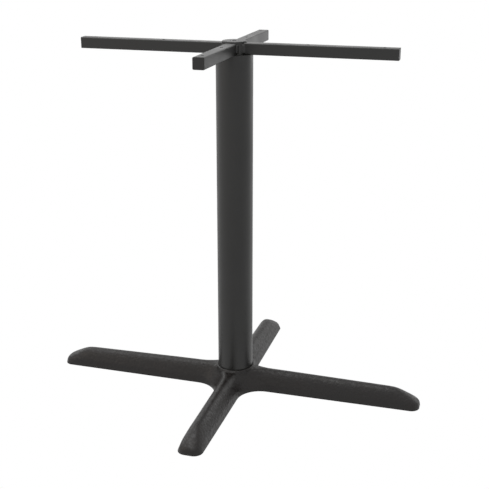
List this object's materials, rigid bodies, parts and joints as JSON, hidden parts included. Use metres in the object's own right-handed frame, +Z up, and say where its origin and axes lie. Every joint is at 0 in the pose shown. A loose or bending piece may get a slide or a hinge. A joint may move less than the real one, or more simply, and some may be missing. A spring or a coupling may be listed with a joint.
{
  "type": "table base",
  "caption": "Pedestal table base in satin black: cast cross foot with sloping ends and levelling glides, round steel tube column, cross of four square bars with screw holes",
  "frame": {"origin": "on the floor under the middle of the column", "axes": "+X along the long bars and long arms, +Y along the short bars and short arms, away from the camera, +Z up"},
  "size_m": [0.794, 0.624, 0.733],
  "materials": {
    "coated_casting": "satin black powder coat over a sand cast skin",
    "coated_steel": "satin black powder coat over welded steel tube",
    "plug_plastic": "fine grained black moulded plastic",
    "blackened_steel": "black oxide on a machined screw head",
    "zinc_steel": "bright zinc plate",
    "glide_nylon": "black moulded nylon"
  },
  "bodies": {
    "base": {"foot_casting": "coated_casting", "column_tube": "coated_steel", "crown_boss": "coated_steel", "bar_right": "coated_steel", "bar_back": "coated_steel", "bar_left": "coated_steel", "bar_front": "coated_steel", "bar_welds": "coated_steel", "tie_bolt": "blackened_steel", "tie_nut": "zinc_steel", "end_plug_right": "plug_plastic", "end_plug_back": "plug_plastic", "end_plug_left": "plug_plastic", "end_plug_front": "plug_plastic"},
    "glide_right": {"glide_stem_right": "zinc_steel", "glide_pad_right": "glide_nylon"},
    "glide_back": {"glide_stem_back": "zinc_steel", "glide_pad_back": "glide_nylon"},
    "glide_left": {"glide_stem_left": "zinc_steel", "glide_pad_left": "glide_nylon"},
    "glide_front": {"glide_stem_front": "zinc_steel", "glide_pad_front": "glide_nylon"}
  },
  "joints": [
    {"name": "glide_right_screw", "type": "slide", "parent": "base", "child": "glide_right", "axis": [0, 0, -1], "range_m": [0, 0.008]},
    {"name": "glide_back_screw", "type": "slide", "parent": "base", "child": "glide_back", "axis": [0, 0, -1], "range_m": [0, 0.008]},
    {"name": "glide_left_screw", "type": "slide", "parent": "base", "child": "glide_left", "axis": [0, 0, -1], "range_m": [0, 0.008]},
    {"name": "glide_front_screw", "type": "slide", "parent": "base", "child": "glide_front", "axis": [0, 0, -1], "range_m": [0, 0.008]}
  ]
}
